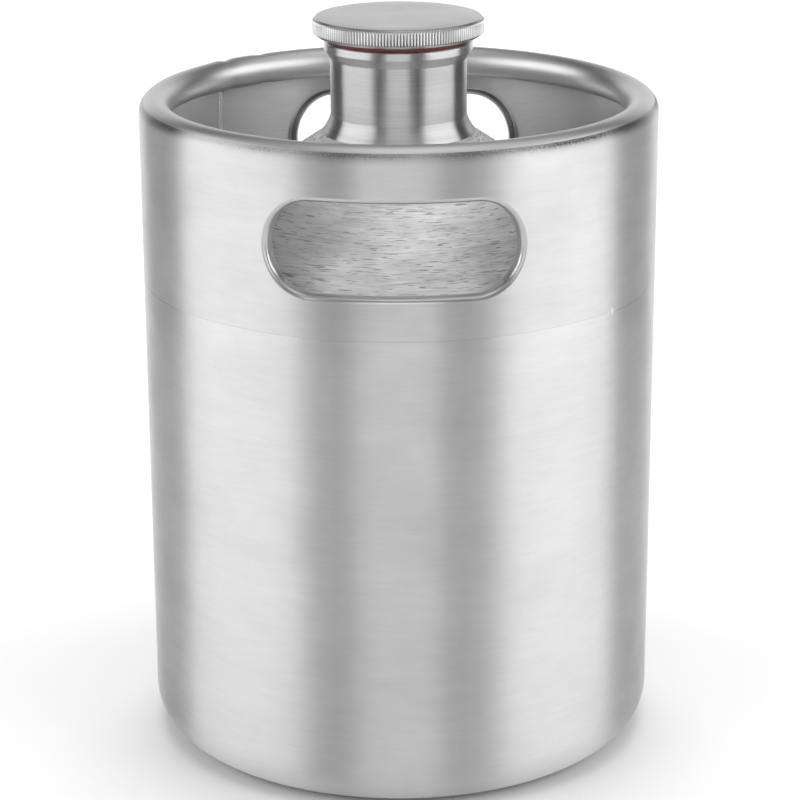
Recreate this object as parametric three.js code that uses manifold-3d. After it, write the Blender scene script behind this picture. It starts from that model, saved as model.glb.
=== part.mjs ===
// A stainless steel mini keg with a welded handle collar and a knurled screw cap.
// Millimetres, +Z up. The origin is the centre of the ring that the keg stands on.
import * as THREE from 'three';
import Module from 'manifold-3d';
import { mergeVertices } from 'three/addons/utils/BufferGeometryUtils.js';

const wasm = await Module();
wasm.setup();

// ---------------------------------------------------------------- driving sizes
const BODY_RADIUS = 81;
const SHEET = 1; // thickness of every drawn or rolled steel sheet
const GAP = 0.3; // space left between pieces that touch
const WELD_WIDTH = 0.4;
const JOINT = WELD_WIDTH + 2 * GAP; // from sheet edge to sheet edge at a butt weld

// base
const KNUCKLE_RADIUS = 13.4;
const FOOT_WIDTH = 5.6; // flat ring under the knuckle
const DISH_HEIGHT = 9; // how far the middle of the base stands above the floor
// the underside between its middle and the flat ring: distance in from the ring, and height
const DISH_STEPS = [
  [26, 7.7],
  [9, 4.2],
  [3.4, 1.2],
];
const BASE_WELD_Z = 16;

// collar
const GIRTH_WELD_Z = 151.5;
const RIM_TOP = 208.8;
const BEAD_RADIUS = 4.9;
const BEAD_END_DEG = -62; // where the rolled edge stops, short of the wall
const GRIP_Z = 178.3; // middle of both handle openings
const GRIP_HALF_LENGTH = 38.9; // along the wall, to the cut edge
const GRIP_HALF_HEIGHT = 14;
const FLANGE_DEPTH = 3.5; // inward lip around each handle opening

// shoulder
const CONE_DEG = 34.2;
const CONE_RADIUS = 27.8; // a point that the cone passes through, and its height
const CONE_Z = 193.8;
const SHOULDER_KNUCKLE = 9;
const SKIRT_BOTTOM = 146.5;
const NECK_HOLE_RADIUS = 25;

// neck
const NECK_RADIUS = 21.3;
const NECK_BORE = 19;
const LIP_RADIUS = 23.15;
const LIP_TOP = 224.8;
const LIP_HEIGHT = 2.3;
const LIP_CHAMFER = 2.8;
const FLARE_TOP = 201.8;
const FLARE_RADIUS = 24;
// the flare between its foot and the straight tube: radius and height
const FLARE_STEPS = [
  [22.5, 198.9],
  [21.6, 200.3],
];
const FLARE_WALL = 2.2; // thickness where the bore meets the flare
const BORE_BOTTOM = 199.8; // where the bore starts to open out into the vessel
const LIP_EASE = 0.3; // bevel on the lip's outer edge
const MOUTH_EASE = 0.6; // bevel at the mouth of the bore

// cap
const CAP_RADIUS = 26.65;
const CAP_TOP = 232.4;
const CAP_BOTTOM = 226.6;
const CAP_BEVEL = 1;
const CAP_CHAMFER_HEIGHT = 1.2;
const CAP_CHAMFER_RADIUS = 25.2;
const KNURLS = 171;
const KNURL_DEPTH = 0.4;
const CREST_RELIEF = 0.01; // keeps the knurl's crests just inside the turned edge
const SEAL_OUTER = 22.2;
const SEAL_INNER = 18.3;

// thread between the cap's plug and the neck, right-handed
const PITCH = 4;
const PLUG_RADIUS = 17.7;
const PLUG_BORE = 14.5;
const PLUG_BOTTOM = 213;
const THREAD_HEIGHT = 1;
const THREAD_ROOT = 1.8; // width of a ridge where it leaves its wall
const THREAD_CREST = 0.9;
const THREAD_SUNK = 0.4; // how deep a ridge's root goes into its wall
const THREAD_TURNS = 2;
const THREAD_START_DEG = 1;
const PLUG_THREAD_Z = 214.5; // where the middle of the plug's ridge starts

// where the rolled sheets were closed, counted from +X
const COLLAR_WELD_DEG = 139;
const BODY_WELD_DEG = -40;

const BIG_SEGMENTS = 56;
const SMALL_SEGMENTS = 40;
const THREAD_SEGMENTS = 32; // in each turn
const BEAD_SEGMENTS = 10;
const KNUCKLE_SEGMENTS = 5; // round the bend above the foot
const BEND_SEGMENTS = 4; // round the shoulder's bend
const GRIP_END_SEGMENTS = 10; // round each end of a handle opening
const GRIP_SIDE_SEGMENTS = 8; // along each of its long sides
const CUT_MARGIN = 5; // how far a cutting solid reaches past what it cuts
const MERGE_DISTANCE = 1e-4;
const MITRE_LIMIT = 0.3; // keeps a sharp corner of an offset line from running away

// -------------------------------------------------------------------- materials
const steel = (name, color, roughness) =>
  new THREE.MeshStandardMaterial({ name, color, roughness, metalness: 1 });
const brushedSteel = steel('brushed_steel', 0xc3c5c6, 0.36);
const turnedSteel = steel('turned_steel', 0xcfd1d2, 0.22);
const weldSteel = steel('weld_steel', 0xa9abac, 0.42);
const silicone = new THREE.MeshStandardMaterial({
  name: 'silicone',
  color: 0x7c2e20,
  roughness: 0.55,
  metalness: 0,
});

// ---------------------------------------------------------------- shape helpers
const point = (r, z) => new THREE.Vector2(r, z);
const radians = THREE.MathUtils.degToRad;

// Points on a circular arc, both ends included.
function arc(centreR, centreZ, radius, startDeg, endDeg, steps) {
  const points = [];
  for (let i = 0; i <= steps; i++) {
    const angle = radians(startDeg + ((endDeg - startDeg) * i) / steps);
    points.push(point(centreR + radius * Math.cos(angle), centreZ + radius * Math.sin(angle)));
  }
  return points;
}

// The line moved sideways, to the left of its own direction.
function offsetLine(line, distance) {
  return line.map((p, i) => {
    const before = line[Math.max(i - 1, 0)];
    const after = line[Math.min(i + 1, line.length - 1)];
    const into = (i === 0 ? after.clone().sub(p) : p.clone().sub(before)).normalize();
    const outOf = (i === line.length - 1 ? into.clone() : after.clone().sub(p)).normalize();
    const along = into.clone().add(outOf).normalize();
    const stretch = distance / Math.max(along.dot(into), MITRE_LIMIT);
    return point(p.x - along.y * stretch, p.y + along.x * stretch);
  });
}

// The closed section of a sheet whose outside follows the line.
function sheetSection(line) {
  return [...line, ...offsetLine(line, SHEET).reverse()];
}

function toSolid(geometry) {
  const bare = geometry.clone();
  bare.deleteAttribute('normal');
  bare.deleteAttribute('uv');
  const merged = mergeVertices(bare, MERGE_DISTANCE);
  const index = merged.index.array;
  const triangles = [];
  for (let i = 0; i < index.length; i += 3) {
    const [a, b, c] = [index[i], index[i + 1], index[i + 2]];
    if (a !== b && b !== c && c !== a) triangles.push(a, b, c);
  }
  return new wasm.Manifold(
    new wasm.Mesh({
      numProp: 3,
      vertProperties: new Float32Array(merged.attributes.position.array),
      triVerts: new Uint32Array(triangles),
    }),
  );
}

function toGeometry(solid) {
  const mesh = solid.getMesh();
  const geometry = new THREE.BufferGeometry();
  geometry.setAttribute('position', new THREE.BufferAttribute(mesh.vertProperties, 3));
  geometry.setIndex(new THREE.BufferAttribute(mesh.triVerts, 1));
  geometry.computeVertexNormals();
  return geometry;
}

// A section turned about Z. It runs up the outside and down the inside.
function turned(section, segments) {
  const closed = [...section, section[0].clone()];
  return toSolid(new THREE.LatheGeometry(closed, segments).rotateX(Math.PI / 2));
}

// A section in the plane through Z at the given angle, thickened across that plane.
function slab(section, thickness, deg) {
  const geometry = new THREE.ExtrudeGeometry(new THREE.Shape(section), {
    depth: thickness,
    bevelEnabled: false,
  });
  geometry.translate(0, 0, -thickness / 2).rotateX(Math.PI / 2).rotateZ(radians(deg));
  return toSolid(geometry);
}

const rectangle = (r0, r1, z0, z1) => [point(r0, z0), point(r1, z0), point(r1, z1), point(r0, z1)];

// The outline of an oblong with round ends. Its long sides are divided so that they can bend.
function oblong(halfLength, halfHeight) {
  const straight = halfLength - halfHeight;
  const sideStep = (2 * straight) / GRIP_SIDE_SEGMENTS;
  const outline = [];
  for (let i = 1; i < GRIP_SIDE_SEGMENTS; i++) {
    outline.push(point(-straight + sideStep * i, -halfHeight));
  }
  outline.push(...arc(straight, 0, halfHeight, -90, 90, GRIP_END_SEGMENTS));
  for (let i = 1; i < GRIP_SIDE_SEGMENTS; i++) {
    outline.push(point(straight - sideStep * i, halfHeight));
  }
  outline.push(...arc(-straight, 0, halfHeight, 90, 270, GRIP_END_SEGMENTS));
  return outline;
}

// A flat outline pushed in radially through the wall that faces the angle deg.
function radialPrism(outline, fromRadius, toRadius, deg) {
  const geometry = new THREE.ExtrudeGeometry(new THREE.Shape(outline), {
    depth: fromRadius - toRadius,
    bevelEnabled: false,
  });
  const position = geometry.attributes.position;
  for (let i = 0; i < position.count; i++) {
    const angle = radians(deg) + position.getX(i) / BODY_RADIUS;
    const radius = toRadius + position.getZ(i);
    const height = GRIP_Z + position.getY(i);
    position.setXYZ(i, radius * Math.cos(angle), radius * Math.sin(angle), height);
  }
  return toSolid(geometry);
}

// A helix about Z whose frames stay radial, so that a section keeps its attitude along it.
class Helix extends THREE.Curve {
  constructor(radius, startZ, turns) {
    super();
    this.radius = radius;
    this.startZ = startZ;
    this.turns = turns;
  }

  getPoint(t, target = new THREE.Vector3()) {
    const angle = radians(THREAD_START_DEG) + 2 * Math.PI * this.turns * t;
    const height = this.startZ + PITCH * this.turns * t;
    return target.set(this.radius * Math.cos(angle), this.radius * Math.sin(angle), height);
  }

  getPointAt(t, target) {
    return this.getPoint(t, target);
  }

  computeFrenetFrames(segments) {
    const frames = { tangents: [], normals: [], binormals: [] };
    for (let i = 0; i <= segments; i++) {
      const angle = radians(THREAD_START_DEG) + (2 * Math.PI * this.turns * i) / segments;
      frames.tangents.push(new THREE.Vector3(-Math.sin(angle), Math.cos(angle), 0));
      frames.normals.push(new THREE.Vector3(Math.cos(angle), Math.sin(angle), 0));
      frames.binormals.push(new THREE.Vector3(0, 0, -1));
    }
    return frames;
  }
}

// One thread ridge. side is 1 where it stands outward from the wall, -1 where inward.
function threadRidge(wallRadius, side, startZ) {
  const section = [
    point(-side * THREAD_SUNK, -THREAD_ROOT / 2),
    point(side * THREAD_HEIGHT, -THREAD_CREST / 2),
    point(side * THREAD_HEIGHT, THREAD_CREST / 2),
    point(-side * THREAD_SUNK, THREAD_ROOT / 2),
  ];
  const ridge = new THREE.ExtrudeGeometry(new THREE.Shape(section), {
    steps: THREAD_TURNS * THREAD_SEGMENTS,
    bevelEnabled: false,
    extrudePath: new Helix(wallRadius, startZ, THREAD_TURNS),
  });
  return toSolid(ridge);
}

// ------------------------------------------------------------------------- base
function baseDish() {
  const footOuter = BODY_RADIUS - KNUCKLE_RADIUS;
  const footInner = footOuter - FOOT_WIDTH;
  const outside = [
    point(0, DISH_HEIGHT),
    ...DISH_STEPS.map(([inset, height]) => point(footInner - inset, height)),
    point(footInner, 0),
    ...arc(footOuter, KNUCKLE_RADIUS, KNUCKLE_RADIUS, -90, 0, KNUCKLE_SEGMENTS),
    point(BODY_RADIUS, BASE_WELD_Z - JOINT / 2),
  ];
  const inside = offsetLine(outside, SHEET).reverse();
  inside[inside.length - 1].x = 0;
  return turned([...outside, ...inside], BIG_SEGMENTS);
}

// ------------------------------------------------------------------------- body
function bodyShell() {
  const bottom = BASE_WELD_Z + JOINT / 2;
  const top = GIRTH_WELD_Z - JOINT / 2;
  const tube = turned(rectangle(BODY_RADIUS - SHEET, BODY_RADIUS, bottom, top), BIG_SEGMENTS);
  const cut = rectangle(BODY_RADIUS - CUT_MARGIN, BODY_RADIUS + CUT_MARGIN, 0, RIM_TOP);
  return tube.subtract(slab(cut, JOINT, BODY_WELD_DEG));
}

function bodySeamWeld() {
  const bottom = BASE_WELD_Z + JOINT / 2;
  const top = GIRTH_WELD_Z - JOINT / 2;
  const strip = rectangle(BODY_RADIUS - SHEET, BODY_RADIUS, bottom, top);
  return slab(strip, WELD_WIDTH, BODY_WELD_DEG);
}

function ringWeld(z) {
  const half = WELD_WIDTH / 2;
  return turned(rectangle(BODY_RADIUS - SHEET, BODY_RADIUS, z - half, z + half), BIG_SEGMENTS);
}

// --------------------------------------------------------------------- shoulder
const coneHeight = (r) => CONE_Z - (r - CONE_RADIUS) * Math.tan(radians(CONE_DEG));

function shoulderDome() {
  const skirtRadius = BODY_RADIUS - SHEET - GAP;
  const bendDeg = 90 - CONE_DEG;
  const centreR = skirtRadius - SHOULDER_KNUCKLE;
  const bendEndR = centreR + SHOULDER_KNUCKLE * Math.cos(radians(bendDeg));
  const centreZ = coneHeight(bendEndR) - SHOULDER_KNUCKLE * Math.sin(radians(bendDeg));
  const outside = [
    point(skirtRadius, SKIRT_BOTTOM),
    ...arc(centreR, centreZ, SHOULDER_KNUCKLE, 0, bendDeg, BEND_SEGMENTS),
    point(NECK_HOLE_RADIUS, coneHeight(NECK_HOLE_RADIUS)),
  ];
  const section = sheetSection(outside);
  const edgeDepth = SHEET / Math.cos(radians(CONE_DEG)); // upright, at the edge of the neck's hole
  section[outside.length] = point(NECK_HOLE_RADIUS, coneHeight(NECK_HOLE_RADIUS) - edgeDepth);
  return turned(section, BIG_SEGMENTS);
}

// ------------------------------------------------------------------------- neck
function neck() {
  const lipBottom = LIP_TOP - LIP_HEIGHT;
  const footZ = coneHeight(FLARE_RADIUS);
  const section = [
    point(FLARE_RADIUS, footZ),
    ...FLARE_STEPS.map(([radius, height]) => point(radius, height)),
    point(NECK_RADIUS, FLARE_TOP),
    point(NECK_RADIUS, lipBottom - LIP_CHAMFER),
    point(LIP_RADIUS, lipBottom),
    point(LIP_RADIUS, LIP_TOP - LIP_EASE),
    point(LIP_RADIUS - LIP_EASE, LIP_TOP),
    point(NECK_BORE + MOUTH_EASE, LIP_TOP),
    point(NECK_BORE, LIP_TOP - MOUTH_EASE),
    point(NECK_BORE, BORE_BOTTOM),
    point(FLARE_RADIUS - FLARE_WALL, footZ - SHEET / 4),
    point(FLARE_RADIUS - SHEET / 2, footZ - SHEET),
  ];
  const ridge = threadRidge(NECK_BORE, -1, PLUG_THREAD_Z - PITCH / 2);
  return turned(section, SMALL_SEGMENTS).add(ridge);
}

function neckWeld() {
  const inner = FLARE_RADIUS + GAP;
  const outer = NECK_HOLE_RADIUS - GAP;
  const top = coneHeight((inner + outer) / 2);
  return turned(rectangle(inner, outer, top - SHEET, top), SMALL_SEGMENTS);
}

// ----------------------------------------------------------------------- collar
function collarLine() {
  const centreR = BODY_RADIUS - BEAD_RADIUS;
  const centreZ = RIM_TOP - BEAD_RADIUS;
  return [
    point(BODY_RADIUS, GIRTH_WELD_Z + JOINT / 2),
    ...arc(centreR, centreZ, BEAD_RADIUS, 0, 360 + BEAD_END_DEG, BEAD_SEGMENTS),
  ];
}

const GRIP_ANGLES = [-90, 90];

function handleCollar() {
  let collar = turned(sheetSection(collarLine()), BIG_SEGMENTS);
  const cutOutline = oblong(GRIP_HALF_LENGTH, GRIP_HALF_HEIGHT);
  const lipOutline = oblong(GRIP_HALF_LENGTH + SHEET, GRIP_HALF_HEIGHT + SHEET);
  const lipStart = BODY_RADIUS - SHEET / 2;
  const lipEnd = BODY_RADIUS - FLANGE_DEPTH;
  for (const deg of GRIP_ANGLES) {
    const lip = radialPrism(lipOutline, lipStart, lipEnd, deg);
    const hole = radialPrism(cutOutline, BODY_RADIUS + CUT_MARGIN, lipEnd - CUT_MARGIN, deg);
    collar = collar.add(lip).subtract(hole);
  }
  const beadInner = BODY_RADIUS - 2 * BEAD_RADIUS;
  const cut = rectangle(
    beadInner - CUT_MARGIN,
    BODY_RADIUS + CUT_MARGIN,
    GIRTH_WELD_Z,
    RIM_TOP + CUT_MARGIN,
  );
  return collar.subtract(slab(cut, JOINT, COLLAR_WELD_DEG));
}

function collarSeamWeld() {
  return slab(sheetSection(collarLine()), WELD_WIDTH, COLLAR_WELD_DEG);
}

// -------------------------------------------------------------------------- cap
function capDisc() {
  const section = [
    point(0, CAP_BOTTOM),
    point(CAP_CHAMFER_RADIUS, CAP_BOTTOM),
    point(CAP_RADIUS, CAP_BOTTOM + CAP_CHAMFER_HEIGHT),
    point(CAP_RADIUS, CAP_TOP - CAP_BEVEL),
    point(CAP_RADIUS - CAP_BEVEL, CAP_TOP),
    point(0, CAP_TOP),
  ];
  const flutes = new THREE.Shape();
  for (let i = 0; i < 2 * KNURLS; i++) {
    const angle = (Math.PI * i) / KNURLS;
    const radius = CAP_RADIUS - (i % 2 ? KNURL_DEPTH : CREST_RELIEF);
    const [x, y] = [radius * Math.cos(angle), radius * Math.sin(angle)];
    if (i === 0) flutes.moveTo(x, y);
    else flutes.lineTo(x, y);
  }
  const fluted = new THREE.ExtrudeGeometry(flutes, {
    depth: CAP_TOP - CAP_BOTTOM + 2 * CUT_MARGIN,
    bevelEnabled: false,
  });
  fluted.translate(0, 0, CAP_BOTTOM - CUT_MARGIN);
  return turned(section, BIG_SEGMENTS).intersect(toSolid(fluted));
}

function capPlug() {
  const top = CAP_BOTTOM - GAP;
  const tube = turned(rectangle(PLUG_BORE, PLUG_RADIUS, PLUG_BOTTOM, top), SMALL_SEGMENTS);
  return tube.add(threadRidge(PLUG_RADIUS, 1, PLUG_THREAD_Z));
}

function capSeal() {
  const section = rectangle(SEAL_INNER, SEAL_OUTER, LIP_TOP + GAP, CAP_BOTTOM - GAP);
  return turned(section, SMALL_SEGMENTS);
}

// --------------------------------------------------------------------- assembly
function piece(name, solid, material) {
  const mesh = new THREE.Mesh(toGeometry(solid), material);
  mesh.name = name;
  return mesh;
}

const vessel = new THREE.Group();
vessel.add(
  piece('base_dish', baseDish(), brushedSteel),
  piece('base_weld', ringWeld(BASE_WELD_Z), weldSteel),
  piece('body_shell', bodyShell(), brushedSteel),
  piece('body_seam_weld', bodySeamWeld(), weldSteel),
  piece('girth_weld', ringWeld(GIRTH_WELD_Z), weldSteel),
  piece('shoulder_dome', shoulderDome(), brushedSteel),
  piece('neck_weld', neckWeld(), weldSteel),
  piece('neck', neck(), turnedSteel),
);

const handle = new THREE.Group();
handle.add(
  piece('handle_collar', handleCollar(), brushedSteel),
  piece('collar_seam_weld', collarSeamWeld(), weldSteel),
);

const cap = new THREE.Group();
cap.add(
  piece('cap_disc', capDisc(), turnedSteel),
  piece('cap_plug', capPlug(), turnedSteel),
  piece('cap_seal', capSeal(), silicone),
);

const keg = new THREE.Group();
keg.add(vessel, handle, cap);

export default keg;
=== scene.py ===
"""A small stainless steel keg with a handle collar and a knurled screw cap, on a pale floor."""

import math

import bpy
import numpy as np
from mathutils import Matrix, Vector


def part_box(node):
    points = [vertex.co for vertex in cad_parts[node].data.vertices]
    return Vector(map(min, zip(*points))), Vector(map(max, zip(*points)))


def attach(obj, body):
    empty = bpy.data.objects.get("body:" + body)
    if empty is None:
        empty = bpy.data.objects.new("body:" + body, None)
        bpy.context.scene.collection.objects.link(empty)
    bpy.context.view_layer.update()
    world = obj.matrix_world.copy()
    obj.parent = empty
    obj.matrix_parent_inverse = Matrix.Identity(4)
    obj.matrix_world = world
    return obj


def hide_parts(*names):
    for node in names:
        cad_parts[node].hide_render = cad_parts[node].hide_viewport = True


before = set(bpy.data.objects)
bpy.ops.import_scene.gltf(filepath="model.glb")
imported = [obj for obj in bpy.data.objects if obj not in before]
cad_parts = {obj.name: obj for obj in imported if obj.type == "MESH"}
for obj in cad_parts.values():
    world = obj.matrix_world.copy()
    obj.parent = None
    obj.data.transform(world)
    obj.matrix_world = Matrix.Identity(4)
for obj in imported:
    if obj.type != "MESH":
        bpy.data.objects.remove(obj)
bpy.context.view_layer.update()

MM = 0.001
TAU = 2 * math.pi


# ------------------------------------------------------------------- sizes, from the frame
def top(node):
    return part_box(node)[1].z


def bottom(node):
    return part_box(node)[0].z


def radius(node):
    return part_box(node)[1].x


BODY_R = radius("body_shell")
SHEET = 1.0 * MM
GIRTH_Z = (top("girth_weld") + bottom("girth_weld")) / 2
BASE_JOINT_Z = (top("base_weld") + bottom("base_weld")) / 2
RIM_TOP = top("handle_collar")
CAP_TOP = top("cap_disc")
CAP_BOTTOM = bottom("cap_disc")
CAP_R = radius("cap_disc")
LIP_TOP = top("neck")
PLUG_BOTTOM = bottom("cap_plug")

# sizes that no box gives, the same as the CAD part's
KNUCKLE_R = 13.4 * MM
FOOT_WIDTH = 5.6 * MM
DISH_HEIGHT = 9 * MM
BEAD_R = 4.9 * MM
BEAD_Z = RIM_TOP - BEAD_R
BEAD_END_DEG = 298
GRIP_Z = 178.3 * MM
GRIP_HALF_LENGTH = 38.9 * MM
GRIP_HALF_HEIGHT = 14 * MM
FLANGE_DEPTH = 3.5 * MM
FLANGE_BEND_R = 1.5 * MM
CONE_DEG = 34.2
CONE_R, CONE_Z = 27.8 * MM, 193.8 * MM
SHOULDER_KNUCKLE = 9 * MM
NECK_R = 21.3 * MM
NECK_BORE = 19 * MM
LIP_R = 23.15 * MM
FLARE_R = 24 * MM
FLARE_TOP = 201.8 * MM
PLUG_R = 17.7 * MM
PLUG_BORE = 14.5 * MM
PITCH = 4 * MM
THREAD_HEIGHT = 1 * MM
PLUG_THREAD_Z = 214.5 * MM
THREAD_TURNS = 2
SEAL_R, SEAL_INNER = 22.2 * MM, 18.3 * MM
CAP_BEVEL, CAP_CHAMFER = 1.0 * MM, 1.2 * MM
CAP_CHAMFER_WIDTH = 1.45 * MM
KNURLS = 171
KNURL_DEPTH = 0.42 * MM
CREASE_DEG = 41  # where the brushed wall meets the polished bead
CREASE_DEPTH = 0.2 * MM
CREASE_DEG_WIDTH = 2.2
COLLAR_WELD = math.radians(139)
BODY_WELD = math.radians(-40)
GIRTH_MARK = math.radians(-36.5)
SEAM_GAP = 0.15 * MM  # half the gap between barrel and collar that the girth seam fills
SEGMENTS = 256

# the dish's underside, first from the middle as shares of the foot's inner radius and drops in
# mm, then near the foot as distances inside it and heights, both in mm
DISH_CROWN = ((0.0, 0.0), (0.2, 0.1), (0.4, 0.55), (0.6, 1.6))
DISH_EDGE = ((14, 6), (9, 4.2), (5.5, 2.4), (3.4, 1.2), (1.6, 0.35), (0, 0))
# the neck's flared foot, as radii and heights in mm
FLARE_LINE = ((23.3, 197.55), (22.7, 198.5), (22.2, 199.4), (21.8, 200.3), (21.52, 201.2))
# how the bead is pinched along the rim: share of its size, place and width in mm from the seam
BEAD_DENTS = (
    (-0.12, 0.5, 1.9),
    (0.04, 4.5, 2.5),
    (0.03, -4.5, 3.0),
    (-0.07, -15.0, 2.4),
    (0.02, -10.5, 2.5),
)


# ------------------------------------------------------------------------------- camera
def make_camera():
    """The photographer stood in front, a little to the keg's left handle end, looking down."""
    focal_share = 3.4387  # focal length over sensor width
    pitch, turn, roll = math.radians(18.11), math.radians(1.2), math.radians(0.26)
    distance, aim_z = 0.8896, 0.1073
    data = bpy.data.cameras.new("camera")
    data.sensor_width = 36
    data.lens = focal_share * data.sensor_width
    data.clip_start, data.clip_end = 0.05, 50
    camera = bpy.data.objects.new("camera", data)
    bpy.context.scene.collection.objects.link(camera)
    back = distance * math.cos(pitch)
    camera.location = (
        back * math.sin(turn),
        -back * math.cos(turn),
        aim_z + distance * math.sin(pitch),
    )
    look = Matrix.Rotation(turn, 4, "Z") @ Matrix.Rotation(math.pi / 2 - pitch, 4, "X")
    look = look @ Matrix.Rotation(-roll, 4, "Z")
    camera.matrix_world = Matrix.Translation(camera.location) @ look
    bpy.context.scene.camera = camera


make_camera()


# ------------------------------------------------------------------------- mesh helpers
def add_mesh(name, verts, faces, body, material, replaces, normals=None):
    """A smooth piece made from its points and faces, riding on a CAD body. normals may give
    one direction for each point."""
    mesh = bpy.data.meshes.new(name)
    mesh.from_pydata([tuple(v) for v in verts], [], [tuple(f) for f in faces])
    mesh.validate()
    mesh.materials.append(material)
    mesh.shade_smooth()
    if normals is not None:
        mesh.normals_split_custom_set_from_vertices([tuple(n) for n in normals])
    piece = bpy.data.objects.new(name, mesh)
    bpy.context.scene.collection.objects.link(piece)
    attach(piece, body)
    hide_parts(*replaces)
    return piece


def arc(r, z, size, start, end, steps):
    """Points of a circular arc about (r, z), angles in degrees, both ends included."""
    turns = np.radians(np.linspace(start, end, steps + 1))
    return [(r + size * math.cos(t), z + size * math.sin(t)) for t in turns]


def rounded(profile, sizes, steps):
    """A closed outline with its corners rounded. sizes holds one radius for each corner."""
    result = []
    count = len(profile)
    for i, (corner, size) in enumerate(zip(profile, sizes)):
        here = np.array(corner)
        before = np.array(profile[i - 1]) - here
        after = np.array(profile[(i + 1) % count]) - here
        if size <= 0:
            result.append(tuple(here))
            continue
        before_unit = before / np.linalg.norm(before)
        after_unit = after / np.linalg.norm(after)
        half = math.acos(float(np.clip(before_unit @ after_unit, -1, 1))) / 2
        longest = 0.49 * min(np.linalg.norm(before), np.linalg.norm(after))
        reach = min(size / math.tan(half), longest)
        start, end = here + before_unit * reach, here + after_unit * reach
        for k in range(steps + 1):
            t = k / steps
            result.append(tuple((1 - t) ** 2 * start + 2 * t * (1 - t) * here + t * t * end))
    return result


def offset_line(line, distance):
    """An open line moved to the left of its own direction."""
    pts = np.array(line, float)
    into = np.diff(pts, axis=0)
    into /= np.linalg.norm(into, axis=1)[:, None]
    first, last = np.vstack([into[:1], into]), np.vstack([into, into[-1:]])
    along = first + last
    along /= np.linalg.norm(along, axis=1)[:, None]
    stretch = distance / np.maximum((along * first).sum(1), 0.4)
    return pts + np.stack([-along[:, 1], along[:, 0]], 1) * stretch[:, None]


def sheet_section(line):
    """The closed section of a sheet whose outside follows the line."""
    outside = [tuple(p) for p in line]
    inside = [tuple(p) for p in offset_line(line, SHEET)][::-1]
    return outside + inside


def turn(profile, segments=SEGMENTS):
    """Points and faces of a closed outline turned about Z. It runs up the outside and down the
    inside."""
    pts = np.array(profile, float)
    rows = len(pts)
    angles = np.arange(segments) * TAU / segments
    verts, start = [], []
    for r, z in pts:
        start.append(len(verts))
        if r < 1e-7:
            verts.append((0.0, 0.0, z))
        else:
            verts += [(r * math.cos(a), r * math.sin(a), z) for a in angles]
    faces = []
    for i in range(rows):
        j = (i + 1) % rows
        on_axis_i, on_axis_j = pts[i][0] < 1e-7, pts[j][0] < 1e-7
        if on_axis_i and on_axis_j:
            continue
        for k in range(segments):
            m = (k + 1) % segments
            a = start[i] if on_axis_i else start[i] + k
            b = start[i] if on_axis_i else start[i] + m
            c = start[j] if on_axis_j else start[j] + m
            d = start[j] if on_axis_j else start[j] + k
            face = [a, b, c, d]
            faces.append([v for n, v in enumerate(face) if v not in face[:n]])
    return verts, faces


def turned_piece(name, profile, body, material, replaces, sharp=30):
    """A turned piece whose edges are crisp where they bend by more than sharp degrees."""
    verts, faces = turn(profile)
    piece = add_mesh(name, verts, faces, body, material, replaces)
    piece.data.set_sharp_from_angle(angle=math.radians(sharp))
    return piece


def sharpen(mesh, rings, near=0.01 * MM):
    """Make the edges that lie on the given rings, each a radius and a height, crisp."""
    places = [(math.hypot(v.co.x, v.co.y), v.co.z) for v in mesh.vertices]
    for edge in mesh.edges:
        for ring in rings:
            if all(math.dist(places[v], ring) < near for v in edge.vertices):
                edge.use_edge_sharp = True


# ------------------------------------------------------------------------------ materials
class Nodes:
    """A small wrapper that adds shader nodes and links them."""

    def __init__(self, name):
        self.material = bpy.data.materials.new(name)
        self.material.use_nodes = True
        self.tree = self.material.node_tree
        self.tree.nodes.clear()
        self.output = self.add("ShaderNodeOutputMaterial")
        self.shader = self.add("ShaderNodeBsdfPrincipled")
        self.link(self.shader, "BSDF", self.output, "Surface")

    def add(self, kind, **settings):
        node = self.tree.nodes.new(kind)
        for key, value in settings.items():
            setattr(node, key, value)
        return node

    def link(self, source, out_name, target, in_name):
        self.tree.links.new(source.outputs[out_name], target.inputs[in_name])

    def math(self, operation, a, b=None):
        node = self.add("ShaderNodeMath", operation=operation)
        for index, value in enumerate((a, b)):
            if value is None:
                continue
            if isinstance(value, (int, float)):
                node.inputs[index].default_value = value
            else:
                self.tree.links.new(value, node.inputs[index])
        return node.outputs[0]

    def noise(self, vector, scale, detail, rough):
        node = self.add("ShaderNodeTexNoise")
        node.inputs["Scale"].default_value = scale
        node.inputs["Detail"].default_value = detail
        node.inputs["Roughness"].default_value = rough
        self.tree.links.new(vector, node.inputs["Vector"])
        return node.outputs["Fac"]

    def ramp(self, value, low, high, out_low, out_high):
        node = self.add("ShaderNodeMapRange")
        node.inputs["From Min"].default_value = low
        node.inputs["From Max"].default_value = high
        node.inputs["To Min"].default_value = out_low
        node.inputs["To Max"].default_value = out_high
        self.tree.links.new(value, node.inputs["Value"])
        return node.outputs[0]

    def combine(self, x, y, z):
        node = self.add("ShaderNodeCombineXYZ")
        for index, value in enumerate((x, y, z)):
            self.tree.links.new(value, node.inputs[index])
        return node.outputs[0]

    def colors(self, value, stops):
        """The colour of a value between stops, each a position and a colour, in order."""
        node = self.add("ShaderNodeValToRGB")
        elements = node.color_ramp.elements
        while len(elements) < len(stops):
            elements.new(1.0)
        # the last stop goes first, so that the stops are in order all the time
        for index, (position, color) in reversed(list(enumerate(stops))):
            elements[index].position = position
            elements[index].color = (*color, 1)
        self.tree.links.new(value, node.inputs["Fac"])
        return node.outputs["Color"]


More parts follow.
